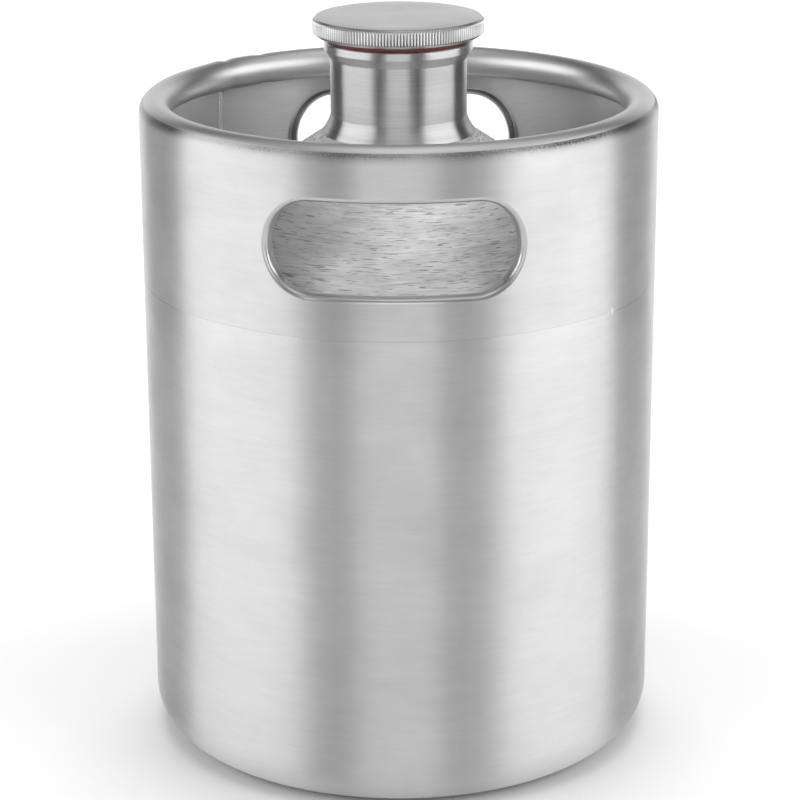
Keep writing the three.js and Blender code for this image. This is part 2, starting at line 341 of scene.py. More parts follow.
BLOTCH_SCALE = 46.0  # cloudy patches about 2 cm across
BROAD_AROUND, BROAD_ACROSS = 0.3, 0.16  # scale of the broad brush lines over the fine ones
NICK_AROUND, NICK_ACROSS = 210.0, 1500.0  # scratches about 5 mm long and under 1 mm wide
NICK_START, NICK_FULL = 0.64, 0.7  # noise above this is a scratch
FINE_SHARE = 0.6  # of the fine lines, over the broad ones
INWARD = 1.3  # how fast the brush lines change towards the axis, over up the wall
RELIEF = 0.03 * MM
NOISE_LOW, NOISE_HIGH = 0.3, 0.7  # noise seldom leaves this range
ROUGHNESS_SWING = 0.08  # share that the roughness varies each way
QUARTER_TURN = 0.25
WHITE = (1.0, 1.0, 1.0)


def split_place(n, place):
    split = n.add("ShaderNodeSeparateXYZ")
    n.tree.links.new(place, split.inputs[0])
    return split.outputs


def from_axis(n, x, y):
    square = n.math("ADD", n.math("MULTIPLY", x, x), n.math("MULTIPLY", y, y))
    return n.math("SQRT", square)


def brush_lines(n, place, around, across):
    """Noise stretched into lines that run round the Z axis, about 1 / around long and
    1 / across wide, in metres."""
    x, y, z = split_place(n, place)
    # across the lines is up the walls, and in towards the axis on cones and flats
    line = n.math("SUBTRACT", z, n.math("MULTIPLY", from_axis(n, x, y), INWARD))
    return n.combine(
        n.math("MULTIPLY", x, around),
        n.math("MULTIPLY", y, around),
        n.math("MULTIPLY", line, across),
    )


def steel(
    name, tint, spread, rough, aniso, around, across, bump, cloud=0.4, scratch=0.0, shade=None
):
    """Steel brushed or turned round the Z axis. spread is how much its brightness varies,
    cloud the share of cloudy patches in that, and scratch the strength of short scratches.
    shade(nodes, place) may give a factor for the colour that changes over the surface."""
    n = Nodes(name)
    place = n.add("ShaderNodeTexCoord").outputs["Object"]
    fine = n.noise(brush_lines(n, place, around, across), 1.0, 3.0, 0.6)
    broad_place = brush_lines(n, place, around * BROAD_AROUND, across * BROAD_ACROSS)
    broad = n.noise(broad_place, 1.0, 3.0, 0.6)
    blotch = n.noise(place, BLOTCH_SCALE, 3.0, 0.6)
    fine, broad = n.math("MULTIPLY", fine, FINE_SHARE), n.math("MULTIPLY", broad, 1 - FINE_SHARE)
    lines = n.math("ADD", fine, broad)
    mixed = n.math(
        "ADD", n.math("MULTIPLY", lines, 1 - cloud), n.math("MULTIPLY", blotch, cloud)
    )
    darker = tuple(c * (1 - spread) for c in tint)
    lighter = tuple(c * (1 + spread) for c in tint)
    stops = ((NOISE_LOW, darker), (NOISE_HIGH, lighter))
    if scratch:
        # the scratches keep the tint, and the metal between them runs up to white
        nicks = n.noise(brush_lines(n, place, NICK_AROUND, NICK_ACROSS), 1.0, 1.0, 0.4)
        mixed = n.math("SUBTRACT", mixed, n.ramp(nicks, NICK_START, NICK_FULL, 0.0, scratch))
        stops = ((0.0, darker), (NOISE_LOW, lighter), (NOISE_HIGH, WHITE))
    finish = n.colors(mixed, stops)
    if shade:
        scale = n.add("ShaderNodeVectorMath", operation="SCALE")
        n.tree.links.new(finish, scale.inputs[0])
        n.tree.links.new(shade(n, place), scale.inputs["Scale"])
        finish = scale.outputs[0]
    n.tree.links.new(finish, n.shader.inputs["Base Color"])
    rougher, smoother = rough * (1 + ROUGHNESS_SWING), rough * (1 - ROUGHNESS_SWING)
    gloss = n.ramp(mixed, NOISE_LOW, NOISE_HIGH, rougher, smoother)
    n.tree.links.new(gloss, n.shader.inputs["Roughness"])
    n.shader.inputs["Metallic"].default_value = 1.0
    n.shader.inputs["Anisotropic"].default_value = aniso
    n.shader.inputs["Anisotropic Rotation"].default_value = QUARTER_TURN
    tangent = n.add("ShaderNodeTangent", direction_type="RADIAL", axis="Z")
    n.link(tangent, "Tangent", n.shader, "Tangent")
    relief = n.add("ShaderNodeBump")
    relief.inputs["Strength"].default_value = bump
    relief.inputs["Distance"].default_value = RELIEF
    n.tree.links.new(mixed, relief.inputs["Height"])
    n.link(relief, "Normal", n.shader, "Normal")
    return n.material


def silicone_rubber():
    n = Nodes("rubber_red")
    place = n.add("ShaderNodeTexCoord").outputs["Object"]
    mottle = n.noise(place, 420.0, 3.0, 0.6)
    stops = ((0.3, (0.13, 0.024, 0.013)), (0.75, (0.2, 0.042, 0.024)))
    n.tree.links.new(n.colors(mottle, stops), n.shader.inputs["Base Color"])
    gloss = n.ramp(mottle, NOISE_LOW, NOISE_HIGH, 0.42, 0.58)
    n.tree.links.new(gloss, n.shader.inputs["Roughness"])
    relief = n.add("ShaderNodeBump")
    relief.inputs["Strength"].default_value = 0.25
    relief.inputs["Distance"].default_value = 0.05 * MM
    n.tree.links.new(mottle, relief.inputs["Height"])
    n.link(relief, "Normal", n.shader, "Normal")
    return n.material


MARK_AROUND, MARK_UP = 2400, 160  # roll marks under 1 mm wide and several mm high
# painted shade comes with the marks: both fade in over this span below the crease
MARKS_FADE, MARKS_FULL = 4.6 * MM, 0.9 * MM  # how far below the crease
PATCH_SCALE = 26.0


def roll_marks_and_crease_shade(n, place):
    """Short upright marks that the rolling left where the wall turns into the bead, over painted
    shade that darkens the wall towards the crease. They are darkest at the crease and in patches,
    and weaker towards -X."""
    x, y, z = split_place(n, place)
    streak_place = n.combine(
        n.math("MULTIPLY", x, MARK_AROUND),
        n.math("MULTIPLY", y, MARK_AROUND),
        n.math("MULTIPLY", z, MARK_UP),
    )
    streaks = n.ramp(n.noise(streak_place, 1.0, 2.0, 0.6), 0.35, 0.65, 0.95, 0.6)
    patches = n.ramp(n.noise(place, PATCH_SCALE, 2.0, 0.5), 0.4, 0.6, 0.4, 1.0)
    side = n.ramp(x, -45 * MM, 0.0, 0.55, 1.0)
    crease = BEAD_Z + BEAD_R * math.sin(math.radians(CREASE_DEG))
    # painted shade: the colour darkens towards the crease, most strongly just under it
    near = n.ramp(z, crease - MARKS_FADE, crease - MARKS_FULL, 0.0, 1.0)
    near = n.math("MULTIPLY", near, n.math("MULTIPLY", near, near))
    depth = n.math(
        "MULTIPLY", n.math("MULTIPLY", near, side), n.math("MULTIPLY", streaks, patches)
    )
    return n.math("SUBTRACT", 1.0, depth)


# painted shade: the knurl's grooves and the bevel are darkened to these shares of the crests'
# brightness
GROOVE_SHADE, BEVEL_SHADE = 0.22, 0.45  # brightness over that of the knurl's crests


def painted_groove_shade(n, place):
    """Painted shade: the knurl's flutes are darker at the bottom than on their crests, and so is
    the bevel.
    """
    x, y, z = split_place(n, place)
    out = from_axis(n, x, y)
    crest = n.ramp(out, CAP_R - KNURL_DEPTH, CAP_R - KNURL_DEPTH * 0.3, GROOVE_SHADE, 1.0)
    knurl_low, knurl_high = CAP_BOTTOM + CAP_CHAMFER, CAP_TOP - CAP_BEVEL
    below = n.ramp(z, knurl_low - 0.3 * MM, knurl_low, 1.0, 0.0)
    wall = n.math("MAXIMUM", crest, below)
    on_bevel = n.ramp(z, knurl_high, knurl_high + 0.3 * MM, 0.0, 1.0)
    keep = n.math("SUBTRACT", 1.0, on_bevel)
    bevel = n.math("MULTIPLY", BEVEL_SHADE, on_bevel)
    return n.math("ADD", n.math("MULTIPLY", wall, keep), bevel)


def grey(level):
    """Steel's colour at a brightness, a trace cooler than neutral."""
    return (level, level, level + 0.005)


STEEL = grey(0.62)
brushed = steel(
    "steel_body", STEEL, spread=0.06, rough=0.45, aniso=0.98, around=110, across=1500, bump=0.35
)
collar_steel = steel(
    "steel_collar", STEEL, spread=0.06, rough=0.458, aniso=0.99, around=110, across=1500,
    bump=0.35, shade=roll_marks_and_crease_shade,
)
bead_steel = steel(
    "steel_bead", grey(0.5), spread=0.05, rough=0.41, aniso=0.55, around=110, across=1300,
    bump=0.15,
)
lip_steel = steel(
    "steel_lip", grey(0.48), spread=0.06, rough=0.3, aniso=0.3, around=110, across=1300,
    bump=0.15,
)
# the collar's inside is darker partly for its plainer mill finish and partly as painted shade for
# its occlusion and dark reflections
shaded_inside_steel = steel(
    "steel_inside_shaded", grey(0.42), spread=0.12, rough=0.36, aniso=0.85, around=90, across=1200,
    bump=0.3, cloud=0.5,
)
cone_steel = steel(
    "steel_shoulder", grey(0.44), spread=0.1, rough=0.56, aniso=0.3, around=120, across=1300,
    bump=0.5, scratch=1.5,
)
turned_steel = steel(
    "steel_turned", STEEL, spread=0.14, rough=0.38, aniso=1.0, around=60, across=2600,
    bump=0.4, cloud=0.2,
)
# the cap's tint, lighter than the body's, is a painted highlight on the knurl's crests; its
# flutes and bevel get painted shade
cap_steel = steel(
    "steel_cap", grey(0.8), spread=0.06, rough=0.3, aniso=0.25, around=60, across=2600,
    bump=0.2, cloud=0.3, shade=painted_groove_shade,
)
satin_steel = steel(
    "steel_satin", grey(0.68), spread=0.1, rough=0.5, aniso=0.0, around=160, across=1400,
    bump=0.3, cloud=0.6,
)
weld_steel = steel(
    "steel_weld", grey(0.6), spread=0.1, rough=0.26, aniso=0.2, around=300, across=900,
    bump=0.3, cloud=0.5,
)
silicone = silicone_rubber()


# ------------------------------------------------------------------------------------ body
def build_base():
    foot_outer = BODY_R - KNUCKLE_R
    foot_inner = foot_outer - FOOT_WIDTH
    outside = [(foot_inner * share, DISH_HEIGHT - drop * MM) for share, drop in DISH_CROWN]
    outside += [(foot_inner - inside * MM, height * MM) for inside, height in DISH_EDGE]
    outside += arc(foot_outer, KNUCKLE_R, KNUCKLE_R, -90, 0, 20)
    outside += [(BODY_R, BASE_JOINT_Z)]
    section = sheet_section(outside)
    section[-1] = (0.0, section[-1][1])
    turned_piece("base", section, "keg", brushed, ["base_dish"], sharp=50)


def build_barrel():
    edge = 0.18 * MM
    high = GIRTH_Z - SEAM_GAP
    outer, inner = BODY_R, BODY_R - SHEET
    heights = np.linspace(BASE_JOINT_Z, high - edge, 12)
    section = [(outer, z) for z in heights]
    section += arc(outer - edge, high - edge, edge, 0, 90, 4)[1:]
    section += [(inner, high), (inner, BASE_JOINT_Z)]
    turned_piece("barrel", section, "keg", brushed, ["body_shell"], sharp=50)


def cone_height(r):
    return CONE_Z - (r - CONE_R) * math.tan(math.radians(CONE_DEG))


def build_shoulder():
    skirt = BODY_R - SHEET - 0.05 * MM
    bend = 90 - CONE_DEG
    centre = skirt - SHOULDER_KNUCKLE
    end_r = centre + SHOULDER_KNUCKLE * math.cos(math.radians(bend))
    centre_z = cone_height(end_r) - SHOULDER_KNUCKLE * math.sin(math.radians(bend))
    hole = FLARE_R + 0.6 * MM
    cone = [(r, cone_height(r)) for r in np.linspace(end_r, hole, 14)]
    outside = [
        (skirt, bottom("shoulder_dome")),
        *arc(centre, centre_z, SHOULDER_KNUCKLE, 0, bend, 14),
        *cone[1:],
    ]
    section = sheet_section(outside)
    turned_piece(
        "shoulder", section, "keg", cone_steel, ["shoulder_dome"], sharp=50
    )


# ---------------------------------------------------------------------------------- collar
def oblong(half_length, half_height, shares):
    """Points of a round-ended oblong at the given shares of its length, with their outward
    directions. Share 0 is on the right-hand end's middle, and shares run anticlockwise."""
    straight = half_length - half_height
    end = math.pi * half_height
    total = 4 * straight + 2 * end
    points, outward = [], []
    for share in shares:
        s = (share % 1.0) * total
        if s <= end / 2 or s >= total - end / 2:
            angle = (s if s <= end / 2 else s - total) / half_height
            centre = straight
        elif s <= end / 2 + 2 * straight:
            points.append((straight - (s - end / 2), half_height))
            outward.append((0.0, 1.0))
            continue
        elif s <= 1.5 * end + 2 * straight:
            angle = math.pi / 2 + (s - end / 2 - 2 * straight) / half_height
            centre = -straight
        else:
            points.append((-straight + (s - 1.5 * end - 2 * straight), -half_height))
            outward.append((0.0, -1.0))
            continue
        direction = (math.cos(angle), math.sin(angle))
        points.append((centre + half_height * direction[0], half_height * direction[1]))
        outward.append(direction)
    return np.array(points), np.array(outward)


# material slots of a shell; the outside is 0
BEAD_LOOK, SHADED_INSIDE_LOOK, LIP_LOOK = 1, 2, 3


SAME_PLACE = 2e-6  # points nearer than this become one


class Shell:
    """A sheet built up from patches of points with their true outward normals."""

    def __init__(self):
        self.points, self.normals, self.faces, self.looks = [], [], [], []

    def patch(self, points, normals, wrap=False, look=0):
        """points and normals are arrays of rows by columns by 3. Rows run up or outward."""
        rows, columns = points.shape[:2]
        base = len(self.points)
        self.points += list(points.reshape(-1, 3))
        self.normals += list(normals.reshape(-1, 3))
        for i in range(rows - 1):
            for j in range(columns if wrap else columns - 1):
                k = (j + 1) % columns
                a, b = base + i * columns + j, base + i * columns + k
                self.faces.append((a, b, b + columns, a + columns))
                self.looks.append(look)

    def welded(self):
        """Points that coincide become one."""
        pts = np.array(self.points)
        keys = np.round(pts / SAME_PLACE).astype(np.int64)
        _, first, inverse = np.unique(keys, axis=0, return_index=True, return_inverse=True)
        inverse = inverse.reshape(-1)
        faces = [tuple(int(inverse[v]) for v in f) for f in self.faces]
        return pts[first], np.array(self.normals)[first], faces

    def thickened(self, thickness):
        """Closed mesh: the sheet, its back, and rounded strips along its free edges."""
        pts, normals, faces = self.welded()
        count = len(pts)
        back = pts - normals * thickness
        verts = [*pts, *back]
        vert_normals = [*normals, *(-normals)]
        result = [*faces, *(tuple(v + count for v in reversed(f)) for f in faces)]
        edges = {}
        for face in faces:
            for a, b in zip(face, face[1:] + face[:1]):
                edges[(a, b)] = True
        border = [(a, b) for a, b in edges if (b, a) not in edges]
        outward = {}
        for a, b in border:
            along = pts[b] - pts[a]
            for v in (a, b):
                side = np.cross(along, normals[v])
                outward[v] = outward.get(v, 0) + side / np.linalg.norm(side)
        steps = 5
        strips = {}
        for v, side in outward.items():
            side = side / np.linalg.norm(side)
            middle = pts[v] - normals[v] * thickness / 2
            row = [v]
            for k in range(1, steps):
                turn_angle = math.pi * k / steps
                direction = math.cos(turn_angle) * normals[v] + math.sin(turn_angle) * side
                row.append(len(verts))
                verts.append(middle + direction * thickness / 2)
                vert_normals.append(direction)
            row.append(v + count)
            strips[v] = row
        for a, b in border:
            for k in range(steps):
                result.append((strips[b][k], strips[a][k], strips[a][k + 1], strips[b][k + 1]))
        looks = self.looks + [SHADED_INSIDE_LOOK if v == 0 else v for v in self.looks]
        looks += [0] * (len(result) - len(looks))
        return np.array(verts), np.array(vert_normals), result, looks


def on_cylinder(s, z, depth, facing):
    """Where a point of the flat pattern lies once the pattern is rolled. s runs anticlockwise."""
    angle = facing + s / BODY_R
    r = BODY_R - depth
    return np.stack([r * np.cos(angle), r * np.sin(angle), z], -1)


def rolled_normal(s, out_r, out_s, out_z, facing):
    angle = facing + s / BODY_R
    c, d = np.cos(angle), np.sin(angle)
    return np.stack([out_r * c - out_s * d, out_r * d + out_s * c, out_z + 0 * c], -1)


COLLAR_LOW = GIRTH_Z + SEAM_GAP
COLUMN = BODY_R * TAU / SEGMENTS
WINDOW_COLUMNS = 24  # half the columns that each opening's window in the wall takes
WINDOW_LOW, WINDOW_HIGH = 160.0 * MM, 196.6 * MM
WINDOW_ROWS = 14


def window_patch(shell, facing):
    """The wall around one handle opening, its bend and its inward lip."""
    half = WINDOW_COLUMNS * COLUMN
    across = np.linspace(half, -half, 2 * WINDOW_COLUMNS + 1)
    up = np.linspace(WINDOW_LOW, WINDOW_HIGH, WINDOW_ROWS + 1)
    right = [(half, z) for z in up[:-1]]
    over = [(s, WINDOW_HIGH) for s in across[:-1]]
    left = [(-half, z) for z in up[::-1][:-1]]
    under = [(s, WINDOW_LOW) for s in across[::-1][:-1]]
    frame_points = np.array(right + over + left + under)
    # corners of the window face the ends' 45 degree points
    straight = GRIP_HALF_LENGTH - GRIP_HALF_HEIGHT
    total = 4 * straight + TAU * GRIP_HALF_HEIGHT
    corner = (math.pi / 4 * GRIP_HALF_HEIGHT) / total
    shares = np.concatenate([
        np.linspace(-corner, corner, WINDOW_ROWS + 1)[:-1],
        np.linspace(corner, 0.5 - corner, 2 * WINDOW_COLUMNS + 1)[:-1],
        np.linspace(0.5 - corner, 0.5 + corner, WINDOW_ROWS + 1)[:-1],
        np.linspace(0.5 + corner, 1 - corner, 2 * WINDOW_COLUMNS + 1)[:-1],
    ])
    cut, outward = oblong(GRIP_HALF_LENGTH, GRIP_HALF_HEIGHT, shares)
    rows, row_normals = [], []

    def ring(offset, depth, tilt):
        s = cut[:, 0] + outward[:, 0] * offset
        z = GRIP_Z + cut[:, 1] + outward[:, 1] * offset
        rows.append(on_cylinder(s, z, depth, facing))
        lean = -outward * math.sin(tilt)
        row_normals.append(rolled_normal(s, math.cos(tilt), lean[:, 0], lean[:, 1], facing))

    for depth in np.linspace(FLANGE_DEPTH, FLANGE_BEND_R, 4)[:-1]:
        ring(0.0, depth, math.pi / 2)
    for tilt in np.linspace(math.pi / 2, 0, 9):
        ring(FLANGE_BEND_R * (1 - math.sin(tilt)), FLANGE_BEND_R * (1 - math.cos(tilt)), tilt)
    edge_s = cut[:, 0] + outward[:, 0] * FLANGE_BEND_R
    edge_z = GRIP_Z + cut[:, 1] + outward[:, 1] * FLANGE_BEND_R
    lip_rows = len(rows)
    for share in np.linspace(0, 1, 9)[1:]:
        s = edge_s * (1 - share) + frame_points[:, 0] * share
        z = edge_z * (1 - share) + frame_points[:, 1] * share
        rows.append(on_cylinder(s, z, 0.0, facing))
        row_normals.append(rolled_normal(s, 1.0, 0.0 * s, 0.0 * s, facing))
    points, normals = np.array(rows), np.array(row_normals)
    shell.patch(points[lip_rows - 1:][::-1], normals[lip_rows - 1:][::-1], wrap=True)
    shell.patch(points[:lip_rows][::-1], normals[:lip_rows][::-1], wrap=True, look=LIP_LOOK)


def bead_dent(angle):
    """The rolled bead is pinched a little where the collar's upright weld crosses it."""
    away = (angle - COLLAR_WELD + math.pi) % TAU - math.pi
    s = away * BODY_R / MM
    return 1 + sum(
        depth * np.exp(-(((s - place) / width) ** 2)) for depth, place, width in BEAD_DENTS
    )


def build_collar():
    shell = Shell()
    angles = np.arange(SEGMENTS) * TAU / SEGMENTS
    unit = np.stack([np.cos(angles), np.sin(angles), 0 * angles], -1)
    up = np.array([0.0, 0.0, 1.0])

    def wall(heights, columns, wrap):
        points = np.array([unit[columns] * BODY_R + up * z for z in heights])
        shell.patch(points, np.repeat(unit[columns][None], len(heights), 0), wrap)

    everywhere = np.arange(SEGMENTS)
    wall(np.linspace(COLLAR_LOW, WINDOW_LOW, 4), everywhere, True)
    wall(np.linspace(WINDOW_HIGH, BEAD_Z, 4), everywhere, True)
    quarter = SEGMENTS // 4
    for facing in (-quarter, quarter):
        beside = np.arange(facing + WINDOW_COLUMNS, facing + 2 * quarter - WINDOW_COLUMNS + 1)
        wall(np.linspace(WINDOW_LOW, WINDOW_HIGH, WINDOW_ROWS + 1), beside % SEGMENTS, False)
        window_patch(shell, facing * TAU / SEGMENTS)

    def bead(start, end, steps, look):
        rows, normals = [], []
        for t in np.radians(np.linspace(start, end, steps + 1)):
            share = min(1.0, math.sin(min(t, math.pi) / 2) * 1.6)
            past = (math.degrees(t) - CREASE_DEG) / CREASE_DEG_WIDTH
            crease = CREASE_DEPTH * math.exp(-(past**2))
            size = BEAD_R * (1 + (bead_dent(angles) - 1) * share) - crease
            out = math.cos(t) * unit + math.sin(t) * up
            rows.append(unit * (BODY_R - BEAD_R) + up * BEAD_Z + out * size[:, None])
            normals.append(out)
        shell.patch(np.array(rows), np.array(normals), wrap=True, look=look)

    bead(0, CREASE_DEG, 16, 0)
    bead(CREASE_DEG, BEAD_END_DEG, 44, BEAD_LOOK)
    verts, vert_normals, faces, looks = shell.thickened(SHEET)
    piece = add_mesh(
        "collar", verts, faces, "keg", collar_steel, ["handle_collar"],
        vert_normals,
    )
    for material in (bead_steel, shaded_inside_steel, lip_steel):
        piece.data.materials.append(material)
    piece.data.polygons.foreach_set("material_index", looks)


# ------------------------------------------------------------------------------------ neck
RIDGE_HALF, FLANK_WIDTH = 0.93 * MM, 0.45 * MM
RUN_OUT = 6  # the ridge reaches its full height within a sixth of a turn


def thread_field(name, wall_r, side, low, high, ridge_z, body, replaces, other_side):
    """A threaded wall as one surface whose radius rises along a helix. The ridge runs out
    smoothly at both ends. other_side is the outline of the rest of the piece."""
    columns, step = 192, 0.11 * MM
    heights = np.linspace(low, high, int(round((high - low) / step)) + 1)
    angles = np.arange(columns) * TAU / columns
    verts = []
    for z in heights:
        for a in angles:
            turns = (z - ridge_z) / PITCH - a / TAU
            nearest = round(turns)
            off = abs(turns - nearest) * PITCH
            along = nearest + a / TAU
            fade = np.clip(min(along + 0.02, THREAD_TURNS - along) * RUN_OUT, 0, 1)
            flank = np.clip((RIDGE_HALF - off) / FLANK_WIDTH, 0, 1)
            flank = flank * flank * (3 - 2 * flank)
            r = wall_r + side * THREAD_HEIGHT * flank * fade
            verts.append((r * math.cos(a), r * math.sin(a), z))
    faces = []
    for i in range(len(heights) - 1):
        for j in range(columns):
            k = (j + 1) % columns
            a, b = i * columns + j, i * columns + k
            quad = (a, b, b + columns, a + columns)
            faces.append(quad if side > 0 else quad[::-1])
    top_ring = (len(heights) - 1) * columns
    previous, last = (top_ring, 0) if side > 0 else (0, top_ring)
    for r, z in other_side:
        start = len(verts)
        verts += [(r * math.cos(a), r * math.sin(a), z) for a in angles]
        for j in range(columns):
            k = (j + 1) % columns
            faces.append((previous + j, previous + k, start + k, start + j))
        previous = start
    for j in range(columns):
        k = (j + 1) % columns
        faces.append((previous + j, previous + k, last + k, last + j))
    piece = add_mesh(name, verts, faces, body, turned_steel, replaces)
    piece.data.set_sharp_from_angle(angle=math.radians(40))
    return piece


def build_neck():
    foot = cone_height(FLARE_R)
    ease = 0.3 * MM
    lip_low = LIP_TOP - 2.3 * MM
    crisp = ((NECK_R, FLARE_TOP + 0.1 * MM), (NECK_R, lip_low - 2.85 * MM), (LIP_R, lip_low))
    bore_low = FLARE_TOP - 2 * MM
    outside = [
        (FLARE_R - 0.4 * MM, foot - SHEET),
        (FLARE_R + 0.1 * MM, foot - 0.1 * MM),
        (FLARE_R, foot + 0.15 * MM),
        *((r * MM, z * MM) for r, z in FLARE_LINE),
        crisp[0],
        (NECK_R, 207 * MM),
        (NECK_R, 213 * MM),
        *crisp[1:],
        (LIP_R, LIP_TOP - ease),
        *arc(LIP_R - ease, LIP_TOP - ease, ease, 0, 90, 4)[1:],
        (NECK_BORE + 0.9 * MM, LIP_TOP),
        (NECK_BORE + 0.5 * MM, LIP_TOP - 0.15 * MM),
        (NECK_BORE + 0.1 * MM, LIP_TOP - 0.6 * MM),
    ]
    thread_low, thread_high = 210.5 * MM, LIP_TOP - 0.9 * MM
    below = [(NECK_BORE, bore_low), (FLARE_R - 2.2 * MM, foot - 0.2 * MM)]
    piece = thread_field(
        "neck", NECK_BORE, -1, thread_low, thread_high, PLUG_THREAD_Z - PITCH / 2,
        "keg", ["neck"], below + outside,
    )
    sharpen(piece.data, crisp)


# ------------------------------------------------------------------------------------- cap
def build_cap():
    bevel, chamfer, depth = CAP_BEVEL, CAP_CHAMFER, KNURL_DEPTH
    chamfer_r = CAP_R - CAP_CHAMFER_WIDTH
    steps = 6  # columns for each flute
    columns = KNURLS * steps
    phase = (np.arange(columns) % steps) / steps
    flute = 0.5 - 0.5 * np.cos(TAU * phase)
    flute = flute**1.3
    angles = np.arange(columns) * TAU / columns
    low, high = CAP_BOTTOM + chamfer, CAP_TOP - bevel
    # radius, height, share of the flutes' depth
    rows = [
        (0.0, CAP_BOTTOM, 0),
        (chamfer_r * 0.75, CAP_BOTTOM, 0),
        (chamfer_r - 0.3 * MM, CAP_BOTTOM, 0),
        (chamfer_r, CAP_BOTTOM + 0.08 * MM, 0),
        (CAP_R - 0.5 * MM, low - 0.42 * MM, 0),
        (CAP_R - 0.1 * MM, low - 0.08 * MM, 0.75),
        (CAP_R, low + 0.05 * MM, 1),
        (CAP_R, (low + high) / 2, 1),
        (CAP_R, high - 0.05 * MM, 1),
        (CAP_R - 0.1 * MM, high + 0.08 * MM, 0.75),
        (CAP_R - 0.42 * MM, high + 0.38 * MM, 0),
        (CAP_R - bevel + 0.1 * MM, CAP_TOP - 0.08 * MM, 0),
        (CAP_R - bevel - 0.15 * MM, CAP_TOP, 0),
        (CAP_R * 0.7, CAP_TOP, 0),
        (0.0, CAP_TOP, 0),
    ]
    verts, start = [], []
    for r, z, share in rows:
        start.append(len(verts))
        if r == 0:
            verts.append((0, 0, z))
            continue
        size = r - depth * share * flute
        verts += list(zip(size * np.cos(angles), size * np.sin(angles), np.full(columns, z)))
    faces = []
    for i in range(len(rows) - 1):
        for j in range(columns):
            k = (j + 1) % columns
            lower = [start[i] + (0 if rows[i][0] == 0 else v) for v in (j, k)]
            upper = [start[i + 1] + (0 if rows[i + 1][0] == 0 else v) for v in (k, j)]
            face = lower + upper
            faces.append([v for n, v in enumerate(face) if v not in face[:n]])
    piece = add_mesh("cap", verts, faces, "cap", cap_steel, ["cap_disc"])
    piece.data.materials.append(satin_steel)
    for face in piece.data.polygons:
        if all(verts[v][2] == CAP_TOP for v in face.vertices):
            face.material_index = 1
    piece.data.set_sharp_from_angle(angle=math.radians(28))


def build_plug():
    high = CAP_BOTTOM
    ease = 0.3 * MM
    other = [
        (PLUG_BORE, high),
        (PLUG_BORE, PLUG_BOTTOM + ease),
        (PLUG_BORE + ease, PLUG_BOTTOM),
        (PLUG_R - ease, PLUG_BOTTOM),
    ]
    thread_field(
        "plug", PLUG_R, 1, PLUG_BOTTOM + ease, high, PLUG_THREAD_Z, "cap", ["cap_plug"], other
    )


def build_seal():
    low, high = LIP_TOP + 0.02 * MM, CAP_BOTTOM - 0.02 * MM
    section = rounded(
        [(SEAL_INNER, low), (SEAL_R, low), (SEAL_R, high), (SEAL_INNER, high)],
        [0.3 * MM, 0.6 * MM, 0.6 * MM, 0.3 * MM],
        5,
    )
    turned_piece("seal", section, "seal", silicone, ["cap_seal"], sharp=60)


# ----------------------------------------------------------------------------------- welds
MARK_PITCH, MARK_REACH, MARK_HEIGHT = 1.9 * MM, 2.6 * MM, 0.22 * MM
RIPPLE_PITCH = 1.4 * MM


def build_ring_weld(name, z, sunk, proud, node, material, mark=None):
    """The fused metal of a seam round the body, sunk a little outside and proud inside. mark
    is the angle where the welder stopped and left a few small ripples."""
    half, segments = 0.5 * MM, 4 * SEGMENTS
    inner, outer = BODY_R - SHEET - proud, BODY_R - sunk
    section = rounded(
        [(inner, z - half), (outer, z - half), (outer, z + half), (inner, z + half)],
        [0.2 * MM, 0.1 * MM, 0.1 * MM, 0.2 * MM],
        3,
    )
    verts, faces = turn(section, segments)
    if mark is not None:
        verts = np.array(verts)
        away = (np.arctan2(verts[:, 1], verts[:, 0]) - mark) * BODY_R
        wave = 0.55 + 0.45 * np.cos(TAU * away / MARK_PITCH)
        ripple = wave * np.exp(-((away / MARK_REACH) ** 2))
        outside = np.hypot(verts[:, 0], verts[:, 1]) > BODY_R - SHEET / 2
        grow = 1 + np.where(outside, ripple, 0) * (sunk + MARK_HEIGHT) / BODY_R
        verts[:, :2] *= grow[:, None]
        verts[:, 2] += np.where(outside, ripple, 0) * (verts[:, 2] - z) * 1.2
    add_mesh(name, verts, faces, "keg", material, [node])


def build_strip_weld(name, angle, low, high, node):
    """An upright seam, flush outside and a low rippled bead inside."""
    rows = int((high - low) / (0.5 * MM))
    verts, faces = [], []
    half, sides = 1.2 * MM, 12
    for i in range(rows + 1):
        z = low + (high - low) * i / rows
        ripple = 0.5 + 0.5 * math.cos(TAU * z / RIPPLE_PITCH)
        sway = (0.16 * math.sin(z / (2.1 * MM)) + 0.08 * math.sin(z / (0.9 * MM))) * MM
        for j in range(sides + 1):
            share = j / sides
            s = half * (2 * share - 1) + sway
            proud = (0.3 + 0.08 * ripple) * MM * math.sin(TAU * share) ** 2
            for r in (BODY_R - SHEET - proud, BODY_R - SHEET + 0.25 * MM):
                turn_angle = angle + s / BODY_R
                verts.append((r * math.cos(turn_angle), r * math.sin(turn_angle), z))
    across = 2 * (sides + 1)
    for i in range(rows):
        for j in range(sides):
            a = i * across + 2 * j
            faces.append((a, a + 2, a + 2 + across, a + across))
            faces.append((a + 1 + across, a + 3 + across, a + 3, a + 1))
        for j in (0, sides):
            a = i * across + 2 * j
            quad = (a, a + across, a + across + 1, a + 1)
            faces.append(quad if j == 0 else quad[::-1])
    for i in (0, rows):
        for j in range(sides):
            a = i * across + 2 * j
            quad = (a, a + 1, a + 3, a + 2)
            faces.append(quad if i == 0 else quad[::-1])
    add_mesh(name, verts, faces, "keg", weld_steel, [node])


def build_neck_weld():
    inner, outer = FLARE_R + 0.1 * MM, FLARE_R + 0.6 * MM
    section = [
        (inner, cone_height(inner) - SHEET),
        (outer, cone_height(outer) - SHEET),
        (outer, cone_height(outer) - 0.05 * MM),
        ((inner + outer) / 2, cone_height((inner + outer) / 2) - 0.1 * MM),
        (inner, cone_height(inner) - 0.05 * MM),
    ]
    turned_piece("neck_seam", section, "keg", cone_steel, ["neck_weld"])


